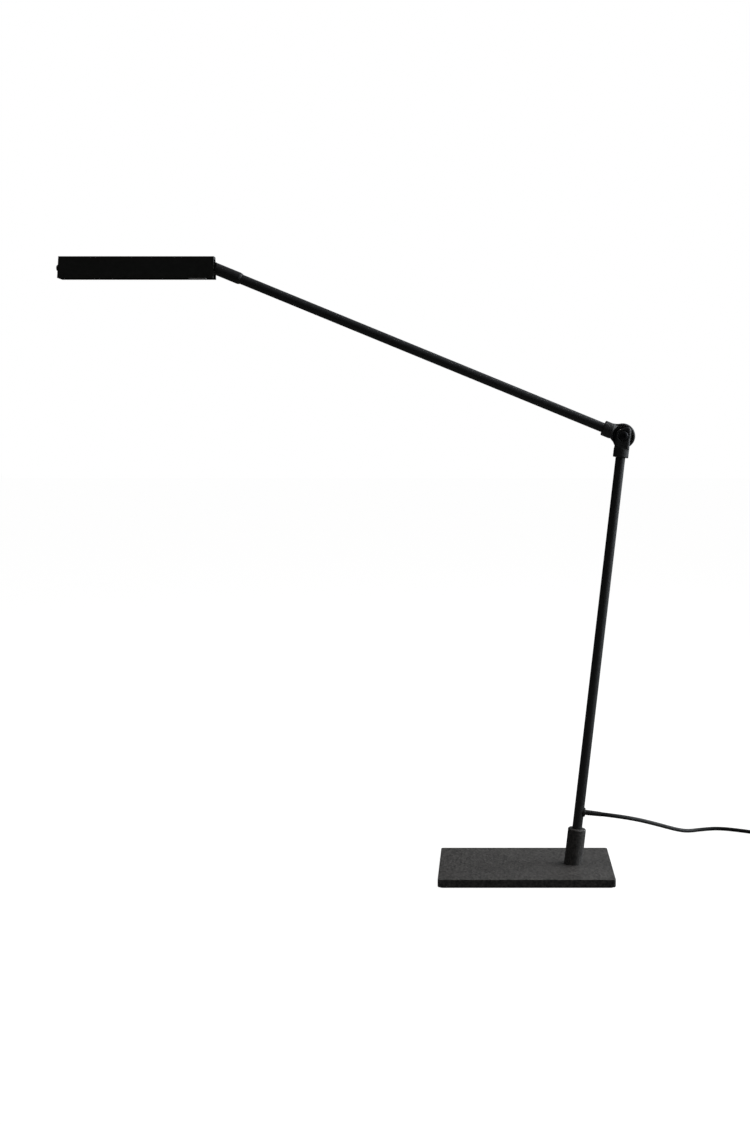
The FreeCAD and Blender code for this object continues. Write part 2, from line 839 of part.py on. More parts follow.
def elbow_upper():
    """The tilting casting: a round hinge disc behind the cheek and the sleeve that holds the arm."""
    chamfer = sleeve_edge_chamfer
    sleeve_profile = [
        (0, 0),
        (0, sleeve_radius - chamfer),
        (arm_sleeve_near, sleeve_radius - chamfer),
        (arm_sleeve_near + chamfer, sleeve_radius),
        (arm_sleeve_far - chamfer, sleeve_radius),
        (arm_sleeve_far, sleeve_radius - chamfer),
        (arm_sleeve_far, 0),
    ]
    sleeve = turned(sleeve_profile, elbow, along_arm, above_arm)
    sweep = rod(
        cheek_sweep + hinge_sweep_clearance, elbow + Y_AXIS * joint_face_gap, Y_AXIS * -1, 2 * sleeve_outer
    )
    half_depth = hinge_disc_thickness + joint_face_gap
    edge = hinge_disc_edge_round
    rim = hinge_disc_radius - hinge_rim_width
    disc_profile = [
        (joint_face_gap, 0),
        (joint_face_gap, hinge_disc_radius - edge),
        (joint_face_gap + edge * 0.3, hinge_disc_radius - edge * 0.3),
        (joint_face_gap + edge, hinge_disc_radius),
        (half_depth - edge, hinge_disc_radius),
        (half_depth, hinge_disc_radius - edge),
        (half_depth, 0),
    ]
    disc = turned(disc_profile, elbow, Y_AXIS, X_AXIS)
    front_recess = turned(
        [
            (joint_face_gap - 1, hinge_hub_radius),
            (joint_face_gap + hinge_recess_depth, hinge_hub_radius + 0.6),
            (joint_face_gap + hinge_recess_depth, rim - 0.6),
            (joint_face_gap - 1, rim),
        ],
        elbow,
        Y_AXIS,
        X_AXIS,
    )
    back_recess = rod(rim - 0.6, elbow + Y_AXIS * (half_depth - hinge_back_recess_depth), Y_AXIS, half_depth)
    valley = math.sqrt(hinge_disc_radius**2 - sleeve_radius**2)
    web_back = joint_face_gap + sleeve_radius * 0.6
    web_top = math.sqrt(sleeve_radius**2 - web_back**2)
    disc_angle = math.asin((sleeve_radius + 2.6 * root_web_rise) / hinge_disc_radius)
    web_corners = [
        (0.5, 0.5),
        (valley + root_web_reach, web_top),
        (valley + root_web_reach, sleeve_radius - 0.1),
        (valley + 0.2, sleeve_radius + root_web_rise),
        (hinge_disc_radius * math.cos(disc_angle) - 0.2, hinge_disc_radius * math.sin(disc_angle) - 0.2),
    ]
    web_points = [
        (elbow + along_arm * along + above_arm * above + Y_AXIS * (joint_face_gap + 0.2), 0)
        for along, above in web_corners
    ]
    web = prism(web_points, Y_AXIS * (web_back - joint_face_gap))
    body = sleeve.cut(sweep).fuse(web).fuse(disc).cut(front_recess).cut(back_recess)
    socket_start = on_arm(arm_socket_start)
    body = body.cut(rod(arm_radius + seat_gap, socket_start, along_arm, arm_sleeve_far))
    bolt_hole = rod(bolt_diameter / 2 + running_gap, elbow, Y_AXIS, half_depth + 1)
    return body.cut(bolt_hole)


# Arm and neck


def arm_tube():
    start = arm_socket_start + seat_gap
    tube = ring(arm_radius, arm_radius - arm_wall, on_arm(start), along_arm, arm_tube_end - start)
    groove_start = neck_start + neck_groove_after_start - swivel_groove_width / 2
    groove = ring(
        arm_radius + 1,
        arm_radius - swivel_groove_depth,
        on_arm(groove_start),
        along_arm,
        swivel_groove_width,
    )
    return tube.cut(groove)


def arm_lead():
    drop = arm_radius - arm_wall - arm_lead_diameter / 2 - lead_wall_gap
    start = on_arm(arm_socket_start + 1) - above_arm * drop
    return rod(arm_lead_diameter / 2, start, along_arm, arm_tube_end - arm_socket_start - 2)


def neck():
    """The turning neck: a sleeve over the arm's end and a tongue on the tilt axis."""
    profile = [
        (neck_start, 0),
        (neck_start, arm_radius + running_gap + neck_cone_end_wall),
        (neck_start + neck_cone_length, neck_radius),
        (neck_shoulder - 0.6, neck_radius),
        (neck_shoulder, neck_radius - 0.6),
        (neck_shoulder, 0),
    ]
    sleeve = turned(profile, elbow, along_arm, above_arm)
    half = tongue_thickness / 2
    tongue_end = tilt_axis_along_arm - neck_shoulder
    low = on_arm(neck_shoulder - 1) - above_arm * neck_radius - Y_AXIS * half
    corners = [
        (low, 0),
        (low + along_arm * (tongue_end + 1 + neck_radius), neck_radius * 0.999),
        (low + along_arm * (tongue_end + 1 + neck_radius) + above_arm * neck_outer, neck_radius * 0.999),
        (low + above_arm * neck_outer, 0),
    ]
    tongue = prism(corners, Y_AXIS * tongue_thickness)
    within = rod(neck_radius, on_arm(neck_start), along_arm, neck_shoulder - neck_start)
    tongue = tongue.cut(rod(neck_outer, on_arm(neck_start), along_arm, neck_shoulder - neck_start).cut(within))
    body = sleeve.fuse(tongue)
    bore = rod(
        arm_radius + running_gap,
        on_arm(neck_start),
        along_arm,
        arm_tube_end + neck_bore_end_gap - neck_start,
    )
    wire_side = (half + neck_radius) / 2
    wire = rod(neck_wire_hole / 2, on_arm(arm_tube_end - 2) + Y_AXIS * wire_side, along_arm, neck_outer)
    wire_entry = rod(arm_radius - arm_wall, on_arm(arm_tube_end), along_arm, 3.0)
    pin_hole = rod(
        tilt_pin_diameter / 2 + running_gap, tilt_axis - Y_AXIS * neck_outer, Y_AXIS, 2 * neck_outer
    )
    body = body.cut(bore).cut(wire_entry).cut(pin_hole).cut(wire)
    return body.cut(rod(swivel_grub_diameter / 2, neck_grub_start(), Y_AXIS, neck_outer))


def neck_grub_start():
    tip = arm_radius - swivel_groove_depth + thread_tip_gap
    return on_arm(neck_start + neck_groove_after_start) + Y_AXIS * tip


def neck_grub():
    tip = arm_radius - swivel_groove_depth + thread_tip_gap
    return grub(neck_grub_start(), Y_AXIS, X_AXIS, swivel_grub_diameter, neck_radius - tip - 0.1)


# Head pieces.  Heights are measured up from the head's rim.


def head_section(x, height_low, height_high, shrink, radius):
    """A trapezoid across the head, drawn in by shrink from the outer sides."""
    across = shrink * math.sqrt(1 + head_slope**2)
    low_half = head_under_width / 2 - head_slope * height_low - across
    high_half = head_under_width / 2 - head_slope * height_high - across
    low = head_rim + height_low
    high = head_rim + height_high
    return [
        (Vector(x, -low_half, low), 0),
        (Vector(x, -high_half, high), radius),
        (Vector(x, high_half, high), radius),
        (Vector(x, low_half, low), 0),
    ]


def head_housing():
    length = profile_rear - profile_front
    outer = prism(head_section(profile_front, 0, head_height, 0, head_edge_round), X_AXIS * length)
    hollow = head_section(profile_front - 1, -1, head_height - head_wall, head_wall, 0)
    shell = outer.cut(prism(hollow, X_AXIS * (length + 2)))
    ledge_end = head_rear - service_cover_rear_setback - service_cover_length
    for side in (-1, 1):
        edge = inner_half_width(ledge_height) + wall_across / 2
        inner = inner_half_width(ledge_height) - ledge_width
        low, high = sorted((side * edge, side * inner))
        ledge = block(
            Vector(profile_front, low, head_rim + ledge_height),
            Vector(ledge_end, high, head_rim + ledge_height + ledge_thickness),
        )
        shell = shell.fuse(ledge)
    return shell.removeSplitter()


def front_cap():
    plate = prism(head_section(head_front, 0, head_height, 0, head_edge_round), X_AXIS * end_cap_thickness)
    ring_high = head_height - head_wall - seat_gap
    spigot_low = ledge_height + ledge_thickness + diffuser_thickness + 2 * diffuser_side_gap
    outer = prism(
        head_section(profile_front, spigot_low, ring_high, head_wall + seat_gap, 0), X_AXIS * cap_spigot_depth
    )
    inner = prism(
        head_section(
            profile_front,
            spigot_low - 1,
            ring_high - cap_spigot_wall,
            head_wall + seat_gap + cap_spigot_wall,
            0,
        ),
        X_AXIS * cap_spigot_depth,
    )
    hole = rod(button_diameter / 2 + button_gap, button_centre(head_front - 1), X_AXIS, end_cap_thickness + 2)
    return plate.fuse(outer.cut(inner)).cut(hole)


def rear_cap():
    """The rear end cap, with a keyhole slot open below for the neck to swing in."""
    start = head_rear - end_cap_thickness
    plate = prism(head_section(start, 0, head_height, 0, head_edge_round), X_AXIS * end_cap_thickness)
    wide = neck_radius + neck_slot_side_gap
    narrow = tongue_thickness / 2 + tilt_washer_thickness + neck_slot_side_gap
    x = start - 1
    depth = end_cap_thickness + 2
    wide_slot = block(Vector(x, -wide, head_rim - 1), Vector(x + depth, wide, tilt_axis.z - neck_slot_shoulder))
    narrow_slot = block(Vector(x, -narrow, head_rim - 1), Vector(x + depth, narrow, tilt_axis.z + neck_slot_top))
    ring_high = head_height - head_wall - seat_gap
    spigot_low = tilt_axis_above_rim + neck_slot_top
    tab = prism(
        head_section(start - cap_spigot_depth, spigot_low, ring_high, head_wall + seat_gap, 0),
        X_AXIS * cap_spigot_depth,
    )
    return plate.cut(wide_slot).cut(narrow_slot).fuse(tab)


def diffuser():
    low = ledge_height + ledge_thickness
    half = inner_half_width(low + diffuser_thickness) - diffuser_side_gap
    end = head_rear - service_cover_rear_setback - service_cover_length
    return block(
        Vector(profile_front + diffuser_side_gap, -half, head_rim + low),
        Vector(end, half, head_rim + low + diffuser_thickness),
    )


def service_cover():
    rear = head_rear - service_cover_rear_setback
    half = inner_half_width(service_cover_thickness) - service_cover_side_gap
    return block(
        Vector(rear - service_cover_length, -half, head_rim),
        Vector(rear, half, head_rim + service_cover_thickness),
    )


def board_span():
    return profile_front + board_end_gap, head_rear - spreader_rear_setback


def led_board():
    front, rear = board_span()
    return block(
        Vector(front, -board_width / 2, head_rim + board_height),
        Vector(rear - bracket_foot_length, board_width / 2, head_rim + board_height + board_thickness),
    )


def led_chips():
    front, rear = board_span()
    diffuser_end = head_rear - service_cover_rear_setback - service_cover_length
    step = (diffuser_end - front) / chip_count
    top = head_rim + board_height
    chips = []
    for i in range(chip_count):
        x = front + (i + 0.5) * step
        chips.append(
            block(
                Vector(x - chip_length / 2, -chip_width / 2, top - chip_thickness),
                Vector(x + chip_length / 2, chip_width / 2, top),
            )
        )
    return Part.makeCompound(chips)


def spreader_top():
    return board_height + board_thickness + spreader_thickness


def heat_spreader():
    front, rear = board_span()
    half = inner_half_width(spreader_top()) - spreader_side_gap
    plate = block(
        Vector(front, -half, head_rim + board_height + board_thickness),
        Vector(rear, half, head_rim + spreader_top()),
    )
    for place in bracket_screw_places():
        plate = plate.cut(rod(bracket_screw_diameter / 2, place - Z_AXIS * 5, Z_AXIS, 10))
    return plate


def led_driver():
    front = head_front + driver_to_front
    low = head_rim + spreader_top()
    corners = [
        (Vector(front, -driver_width / 2, low), 0),
        (Vector(front, -driver_width / 2, low + driver_height), 0.8),
        (Vector(front, driver_width / 2, low + driver_height), 0.8),
        (Vector(front, driver_width / 2, low), 0),
    ]
    return prism(corners, X_AXIS * driver_length)


def terminal_block():
    front = head_front + driver_to_front + driver_length + terminal_behind_driver
    low = head_rim + spreader_top()
    body = block(
        Vector(front, -terminal_width / 2, low),
        Vector(front + terminal_length, terminal_width / 2, low + terminal_height),
    )
    for side in (-1, 1):
        y = side * terminal_width / 4
        through = Vector(front - 1, y, low + terminal_height * 0.42)
        body = body.cut(rod(terminal_bore / 2, through, X_AXIS, terminal_length + 2))
        for share in (0.25, 0.75):
            well = Vector(front + terminal_length * share, y, low + terminal_height * 0.5)
            body = body.cut(rod(terminal_bore / 2.4, well, Z_AXIS, terminal_height))
    return body


def bracket_screw_places():
    _, rear = board_span()
    x = rear - bracket_foot_length * 0.55
    z = head_rim + spreader_top()
    return [Vector(x, side * 3.4, z) for side in (-1, 1)]


def tilt_bracket():
    """A foot on the heat spreader and two cheek plates beside the neck's tongue."""
    _, rear = board_span()
    foot_low = head_rim + spreader_top()
    foot_high = foot_low + bracket_foot_thickness
    inner = tongue_thickness / 2 + tilt_washer_thickness + 3 * running_gap
    outer = inner + cheek_plate_thickness
    front = rear - bracket_foot_length
    foot = block(Vector(front, -outer, foot_low), Vector(rear - 1, outer, foot_high))
    bracket = foot
    for side in (-1, 1):
        y = inner if side > 0 else -outer
        eye_top = tilt_axis.z + (foot_high - tilt_axis.z)
        corners = [
            (Vector(rear - 4, y, foot_low), 0),
            (Vector(rear + 0.4, y, foot_low), 0),
            (Vector(rear + 1.0, y, tilt_axis.z - bracket_eye_radius), 2.0),
            (Vector(tilt_axis.x + bracket_rear_reach, y, tilt_axis.z - bracket_eye_radius), 2.5),
            (Vector(tilt_axis.x + bracket_rear_reach, y, eye_top), 0),
            (Vector(rear - 4, y, eye_top), 0),
        ]
        plate = prism(corners, Y_AXIS * cheek_plate_thickness)
        bracket = bracket.fuse(plate)
    bracket = bracket.cut(rod(tilt_pin_diameter / 2, tilt_axis - Y_AXIS * 20, Y_AXIS, 40))
    for place in bracket_screw_places():
        bracket = bracket.cut(rod(bracket_screw_diameter / 2, place - Z_AXIS, Z_AXIS, 5))
    return bracket


def bracket_screws():
    screws = []
    under = head_rim + board_height + board_thickness
    for place in bracket_screw_places():
        head_top = Vector(place.x, place.y, under)
        head = rod(bracket_screw_head / 2, head_top, Z_AXIS * -1, bracket_screw_head_height)
        shank = rod(bracket_screw_diameter / 2, head_top, Z_AXIS, spreader_thickness + bracket_foot_thickness)
        screws.append(head.fuse(shank))
    return Part.makeCompound(screws)


def tilt_pin():
    start = tilt_axis - Y_AXIS * (tilt_pin_length / 2)
    return rod(tilt_pin_diameter / 2, start, Y_AXIS, tilt_pin_length)


def tilt_washers():
    washers = []
    for side in (-1, 1):
        start = tilt_axis + Y_AXIS * (side * (tongue_thickness / 2 + running_gap))
        inner = tilt_pin_diameter / 2 + running_gap
        washers.append(ring(tilt_washer_outer / 2, inner, start, Y_AXIS * side, tilt_washer_thickness))
    return Part.makeCompound(washers)


def button_centre(x):
    return Vector(x, 0, head_rim + button_above_rim)


def power_button():
    radius = button_diameter / 2
    start = button_centre(head_front)
    flange = end_cap_thickness + running_gap * 4
    plunger_end = end_cap_thickness + switch_setback + 0.6
    profile = [
        (-button_proud, 0),
        (-button_proud, radius - 2.4),
        (-button_proud + button_dome * 0.35, radius - 0.8),
        (-button_proud + button_dome, radius),
        (flange, radius),
        (flange, button_flange_radius),
        (flange + button_flange_thickness, button_flange_radius),
        (flange + button_flange_thickness, button_plunger_radius),
        (plunger_end, button_plunger_radius),
        (plunger_end, 0),
    ]
    return turned(profile, start, X_AXIS, Z_AXIS)


def switch_body():
    front = profile_front + switch_setback
    middle = head_rim + button_above_rim
    body = block(
        Vector(front, -switch_width / 2, middle - switch_height / 2),
        Vector(front + switch_length, switch_width / 2, middle + switch_height / 2),
    )
    well = rod(button_plunger_radius + button_gap, button_centre(front - 1), X_AXIS, switch_well_depth + 1)
    return body.cut(well)


# Build every piece


def save(name, shape):
    shape.exportStep(f"parts/{name}.step")
    print(f"{name}: {len(shape.Solids)} solid(s), valid {shape.isValid()}, {shape.Volume / 1000:.2f} cm3")


def main():
    os.makedirs("parts", exist_ok=True)
    free_cord, free_length = tube_along(cord_route(), "cord")
    coil, coil_length = cord_coil()
    tail, tail_length = tube_along(tail_route(), "cord_tail")
    print(f"whole cord: {free_length + coil_length + tail_length:.0f} mm")
    pieces = {
        "base_pad": base_pad(),
        "base_plate": base_plate(),
        "collar": collar(),
        "collar_screws": collar_screws(),
        "stem_grub": stem_grub(),
        "stem_tube": stem_tube(),
        "stem_lead": stem_lead(),
        "cord_gland": cord_gland(),
        "cord": free_cord,
        "cord_coil": coil,
        "cord_tail": tail,
        "plug_boot": plug_boot(),
        "plug_body": plug_body(),
        "plug_pins": plug_pins(),
        "elbow_lower": elbow_lower(),
        "swivel_grub": swivel_grub(),
        "pivot_bolt": pivot_bolt(),
        "friction_washer": friction_washer(),
        "disc_springs": disc_springs(),
        "pivot_nut": pivot_nut(),
        "elbow_upper": elbow_upper(),
        "arm_tube": arm_tube(),
        "arm_lead": arm_lead(),
        "neck": neck(),
        "neck_grub": neck_grub(),
        "head_housing": head_housing(),
        "front_cap": front_cap(),
        "rear_cap": rear_cap(),
        "diffuser": diffuser(),
        "service_cover": service_cover(),
        "led_board": led_board(),
        "led_chips": led_chips(),
        "heat_spreader": heat_spreader(),
        "led_driver": led_driver(),
        "terminal_block": terminal_block(),
        "tilt_bracket": tilt_bracket(),
        "bracket_screws": bracket_screws(),
        "tilt_pin": tilt_pin(),
        "tilt_washers": tilt_washers(),
        "power_button": power_button(),
        "switch_body": switch_body(),
    }
    for name, shape in pieces.items():
        save(name, shape)


main()
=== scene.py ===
import json
import math
import bmesh
import bpy
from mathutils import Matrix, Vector


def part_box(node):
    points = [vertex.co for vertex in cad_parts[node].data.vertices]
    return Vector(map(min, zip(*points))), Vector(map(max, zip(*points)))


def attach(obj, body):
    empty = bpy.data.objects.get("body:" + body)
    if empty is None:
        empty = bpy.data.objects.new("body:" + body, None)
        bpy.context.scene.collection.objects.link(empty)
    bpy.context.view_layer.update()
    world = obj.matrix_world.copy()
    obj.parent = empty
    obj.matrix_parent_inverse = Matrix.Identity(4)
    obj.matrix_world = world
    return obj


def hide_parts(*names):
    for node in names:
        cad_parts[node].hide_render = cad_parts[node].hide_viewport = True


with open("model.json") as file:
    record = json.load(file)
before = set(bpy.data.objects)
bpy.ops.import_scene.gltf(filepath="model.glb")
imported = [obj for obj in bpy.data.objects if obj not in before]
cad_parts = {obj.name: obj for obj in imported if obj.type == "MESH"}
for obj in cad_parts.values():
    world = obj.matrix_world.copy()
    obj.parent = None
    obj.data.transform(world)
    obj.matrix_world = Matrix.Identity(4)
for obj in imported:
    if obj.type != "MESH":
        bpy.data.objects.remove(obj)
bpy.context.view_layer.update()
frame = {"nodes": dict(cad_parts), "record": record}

# Two-arm desk lamp with a slim bar head. Metres, in the model's own frame:
# origin under the middle of the base, +X to the right, +Y to the back, +Z up.

nodes = frame["nodes"]

up = Vector((0, 0, 1))
stemLean = math.radians(6.67)
elbowAxis = (0.1193, 0.5325)  # x and z of the tilt axis, which runs along y


# small helpers

def linkObject(name, data):
    piece = bpy.data.objects.new(name, data)
    bpy.context.scene.collection.objects.link(piece)
    return piece


def addPiece(name, data, body):
    piece = linkObject(name, data)
    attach(piece, body)
    return piece


def meshFromForm(name, form):
    mesh = bpy.data.meshes.new(name)
    form.to_mesh(mesh)
    form.free()
    return mesh


def smoothMesh(mesh, angle=35):
    mesh.shade_smooth()
    mesh.set_sharp_from_angle(angle=math.radians(angle))


def clamped(value):
    return min(max(value, 0.0), 1.0)


# camera, at the photograph's place

camera = {
    "place": (-0.0433, -1.9065, 0.5268),
    "lens": 49.92,
    "sensor": 36.0,
    "shift": (-0.1022, -0.1084),
    "clip": (0.05, 60.0),
}


def addCamera():
    data = bpy.data.cameras.new("photoCamera")
    data.lens = camera["lens"]
    data.sensor_width = camera["sensor"]
    data.sensor_fit = "AUTO"
    data.shift_x, data.shift_y = camera["shift"]
    data.clip_start, data.clip_end = camera["clip"]
    view = linkObject("photoCamera", data)
    view.location = camera["place"]
    view.rotation_euler = (math.pi / 2, 0, 0)
    bpy.context.scene.camera = view
    print("camera in place")


addCamera()


# mains cord: free stretch, coil and tail in one curve

mainsCord = {
    "diameter": 0.005,
    "length": 1.8,
    "free": [
        (0.09276, 0.0, 0.07012),
        (0.11163, 0.0, 0.06792),
        (0.1400, 0.0220, 0.0582),
        (0.1675, 0.0620, 0.0426),
        (0.1895, 0.1080, 0.0266),
        (0.2070, 0.1490, 0.0134),
        (0.2225, 0.1805, 0.0044),
        (0.2410, 0.1965, 0.0025),
        (0.2675, 0.2040, 0.0025),
        (0.3040, 0.1850, 0.0025),
        (0.3300, 0.1675, 0.0025),
        (0.3560, 0.1555, 0.0025),
    ],
    "coilRadius": 0.0384,
    "pitch": 0.0056,
    "layerStep": 0.0056,
    "halfTurnsIn": 7,
    "pointsPerQuarter": 4,
    # ahead and to the left of the coil's end, and height over the table
    "tail": [
        (0.0, 0.0, 0.0081),
        (0.013, 0.0006, 0.0075),
        (0.028, 0.0, 0.0039),
        (0.043, 0.0018, 0.0025),
        (0.057, 0.0055, 0.0041),
        (0.070, 0.0105, 0.00685),
        (0.080, 0.0140, 0.00685),
    ],
    "bevelResolution": 5,
    "curveResolution": 6,
    "order": 3,
}


def coilQuarters():
    # (radius, climb) of each quarter turn, inwards on the table and outwards on top
    halfPitches = range(mainsCord["halfTurnsIn"] + 1)
    radii = [mainsCord["coilRadius"] - i * mainsCord["pitch"] / 2 for i in halfPitches]
    quarters = []
    for radius in radii[:-1]:
        quarters += [(radius, 0.0)] * 2
    quarters += [(radii[-1], 0.0), (radii[-1], mainsCord["layerStep"])]
    quarters += [(radii[-1], 0.0)] * 2
    for radius in radii[-3:0:-1]:
        quarters += [(radius, 0.0)] * 2
    quarters.append((radii[0], 0.0))
    return quarters


def cordPoints():
    points = [Vector(p) for p in mainsCord["free"]]
    heading = (points[-1] - points[-2]).normalized()
    place = points[-1] + heading * mainsCord["diameter"]
    across = heading.cross(up)
    count = mainsCord["pointsPerQuarter"]
    loose = 1 / math.cos(math.pi / (4 * count))  # the spline runs inside its points
    for radius, climb in coilQuarters():
        centre = place + across * radius
        for i in range(count):
            share = (i + 0.5) / count
            angle = share * math.pi / 2
            spoke = heading * math.sin(angle) - across * math.cos(angle)
            points.append(centre + spoke * (radius * loose) + up * (climb * share))
        place = centre + heading * radius + up * climb
        heading, across = across, -heading
    start = place + heading * mainsCord["diameter"]
    left = up.cross(heading)
    for ahead, aside, height in mainsCord["tail"]:
        point = start + heading * ahead + left * aside
        point.z = height
        points.append(point)
    return points


def addCord():
    points = cordPoints()
    curve = bpy.data.curves.new("mainsCordLine", "CURVE")
    curve.dimensions = "3D"
    curve.bevel_depth = 1.0  # each point carries the radius
    curve.bevel_resolution = mainsCord["bevelResolution"]
    curve.resolution_u = mainsCord["curveResolution"]
    curve.use_fill_caps = True
    line = curve.splines.new("NURBS")
    line.points.add(len(points) - 1)
    for point, place in zip(line.points, points):
        point.co = (*place, 1.0)
        point.radius = mainsCord["diameter"] / 2
    line.order_u = mainsCord["order"]
    line.use_endpoint_u = True
    cord = addPiece("mainsCord", curve, "base")
    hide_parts("cord", "cord_coil", "cord_tail")
    print("cord laid,", len(points), "points")
    return cord


# hinge disc: its front rim falls away in a quarter round

hingeRim = {
    "front": 0.0001,
    "depth": 0.0055,
    "inner": 0.0126,
    "outer": 0.0154,
    "fall": 0.0024,
    # the side towards the arm stays as it is, and the round fades in beside it
    "armAngle": math.radians(180 - 22.31),
    "spared": math.radians(48),
    "blend": math.radians(15),
}
# at the lower left the rim is a little flatter
flatRim = {
    "middle": math.radians(211),
    "halfWidth": math.radians(24),
    "depth": 0.0015,
    "inner": 0.010,
    "blend": 0.0054,
}
# cheek: its right edge falls back to the disc in a wide curve
cheekFlank = {
    "front": -0.00865,
    "ahead": 0.0005,
    "depth": 0.0082,
    "inner": 0.0056,
    "halfWidth": 0.0092,
    "fall": 0.0040,
    "low": -0.0170,
    "blend": 0.0030,
}


def angleApart(angle, middle):
    return abs((angle - middle + math.pi) % (2 * math.pi) - math.pi)


def sector(angle, middle, half):
    return 0.5 + 0.5 * math.cos(math.pi * min(angleApart(angle, middle) / half, 1.0))


def quarterRound(reach):
    reach = min(reach, 1.0)
    return 1 - math.sqrt(1 - reach * reach)


def fromElbow(vert):
    return vert.co.x - elbowAxis[0], vert.co.z - elbowAxis[1]


def roundCheekFlank(mesh):
    for vert in mesh.vertices:
        dx, dz = fromElbow(vert)
        across = dx * math.cos(stemLean) - dz * math.sin(stemLean)
        along = dx * math.sin(stemLean) + dz * math.cos(stemLean)
        behind = vert.co.y - cheekFlank["front"]
        inDepth = -cheekFlank["ahead"] < behind < cheekFlank["depth"]
        if across < cheekFlank["inner"] or not inDepth:
            continue
        lower = clamped((along - cheekFlank["low"]) / cheekFlank["blend"])
        width = cheekFlank["halfWidth"] - cheekFlank["inner"]
        reach = (across - cheekFlank["inner"]) / width
        push = cheekFlank["fall"] * quarterRound(reach) * lower
        vert.co.y += push * (1 - max(behind, 0.0) / cheekFlank["depth"])


def roundHingeRim(mesh):
    front, depth = hingeRim["front"], hingeRim["depth"]
    for vert in mesh.vertices:
        dx, dz = fromElbow(vert)
        far = math.hypot(dx, dz)
        angle = math.atan2(dz, dx)
        if far > flatRim["inner"]:
            pull = flatRim["depth"] * sector(angle, flatRim["middle"], flatRim["halfWidth"])
            kept = 1 - pull * min((far - flatRim["inner"]) / flatRim["blend"], 1.0) / far
            vert.co.x, vert.co.z = elbowAxis[0] + dx * kept, elbowAxis[1] + dz * kept
        if far < hingeRim["inner"] or not front <= vert.co.y <= front + depth:
            continue
        aside = angleApart(angle, hingeRim["armAngle"])
        opened = clamped((aside - hingeRim["spared"]) / hingeRim["blend"])
        reach = (far - hingeRim["inner"]) / (hingeRim["outer"] - hingeRim["inner"])
        push = hingeRim["fall"] * quarterRound(reach) * opened
        vert.co.y += push * (1 - (vert.co.y - front) / depth)


# castings: the model's own forms with their corners rounded as a die leaves them

castings = {
    # rounder: distance from the elbow's axis where the rounder part starts to fade and ends
    "elbow_lower": {
        "name": "swivelCasting", "body": "elbow", "voxel": 0.00042, "rounds": 5,
        "rounder": (0.0150, 0.0175), "reshape": roundCheekFlank,
    },
    "elbow_upper": {
        "name": "armCasting", "body": "arm", "voxel": 0.00042, "rounds": 5,
        "rounder": (0.0160, 0.0185), "reshape": roundHingeRim,
    },
    "neck": {
        "name": "neckCasting", "body": "neck", "voxel": 0.00040, "rounds": 4,
        "rounder": None, "reshape": None,
    },
}
rounderRounds = 22
relaxFactor = 0.5


def addRelax(piece, rounds):
    relax = piece.modifiers.new("relax", "SMOOTH")
    relax.factor = relaxFactor
    relax.iterations = rounds
    return relax


def bakeModifiers(piece):
    graph = bpy.context.evaluated_depsgraph_get()
    mesh = bpy.data.meshes.new_from_object(piece.evaluated_get(graph))
    piece.modifiers.clear()
    piece.data = mesh


def relaxNearAxis(piece, inner, outer):
    # the disc and the cheeks have rounder edges than the sleeves
    group = piece.vertex_groups.new(name="rounder")
    for vert in piece.data.vertices:
        weight = clamped((outer - math.hypot(*fromElbow(vert))) / (outer - inner))
        if weight > 0:
            group.add([vert.index], weight, "REPLACE")
    addRelax(piece, rounderRounds).vertex_group = "rounder"
    bakeModifiers(piece)
    piece.vertex_groups.clear()


def roundedCopy(node, name, body, voxel, rounds, rounder, reshape):
    piece = linkObject(name, nodes[node].data.copy())
    remesh = piece.modifiers.new("voxels", "REMESH")
    remesh.mode = "VOXEL"
    remesh.voxel_size = voxel
    remesh.use_smooth_shade = True
    addRelax(piece, rounds)
    bakeModifiers(piece)
    if rounder:
        relaxNearAxis(piece, *rounder)
    mesh = piece.data
    if reshape:
        reshape(mesh)
    mesh.shade_smooth()
    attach(piece, body)
    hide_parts(node)
    print(name, len(mesh.polygons), "faces")
    return piece


castPieces = [roundedCopy(node, **casting) for node, casting in castings.items()]


# turned pieces

starLobe = {"count": 6, "depth": 0.16}


def bridgeRows(form, rows, segments):
    for lower, upper in zip(rows, rows[1:]):
        for i in range(segments):
            j = (i + 1) % segments
            if len(lower) == 1:
                form.faces.new((lower[0], upper[j], upper[i]))
            elif len(upper) == 1:
                form.faces.new((lower[i], lower[j], upper[0]))
            else:
                form.faces.new((lower[i], lower[j], upper[j], upper[i]))


def turnedMesh(name, profile, place, axis, segments, star=()):
    # profile: (distance along the axis, radius); star: rows that follow a lobed line
    axis = Vector(axis).normalized()
    side = axis.orthogonal().normalized()
    other = axis.cross(side)
    form = bmesh.new()
    rows = []
    for row, (along, radius) in enumerate(profile):
        centre = Vector(place) + axis * along
        if radius == 0:
            rows.append([form.verts.new(centre)])
            continue
        ring = []
        for i in range(segments):
            angle = 2 * math.pi * i / segments
            lobe = 1
            if row in star:
                lobe = 1 + starLobe["depth"] * math.cos(starLobe["count"] * angle)
            spoke = side * math.cos(angle) + other * math.sin(angle)
            ring.append(form.verts.new(centre + spoke * radius * lobe))
        rows.append(ring)
    bridgeRows(form, rows, segments)
    bmesh.ops.recalc_face_normals(form, faces=form.faces)
    mesh = meshFromForm(name, form)
    smoothMesh(mesh)
    return mesh


# cover screws: small domed heads with a star recess, under the service cover

coverScrew = {
    "ahead": (0.0034, 0.0160),
    "radius": 0.0019,
    "dome": 0.0005,
    # shares of the dome's height and of the radius
    "domeRows": ((0.0, 1.0), (0.55, 0.93), (1.0, 0.7)),
    "recess": 0.0008,
    "recessMouth": 1.12,
    "recessDepth": 0.0007,
    "recessRows": (5, 6),
    "sunk": 0.0003,
    "around": 36,
}


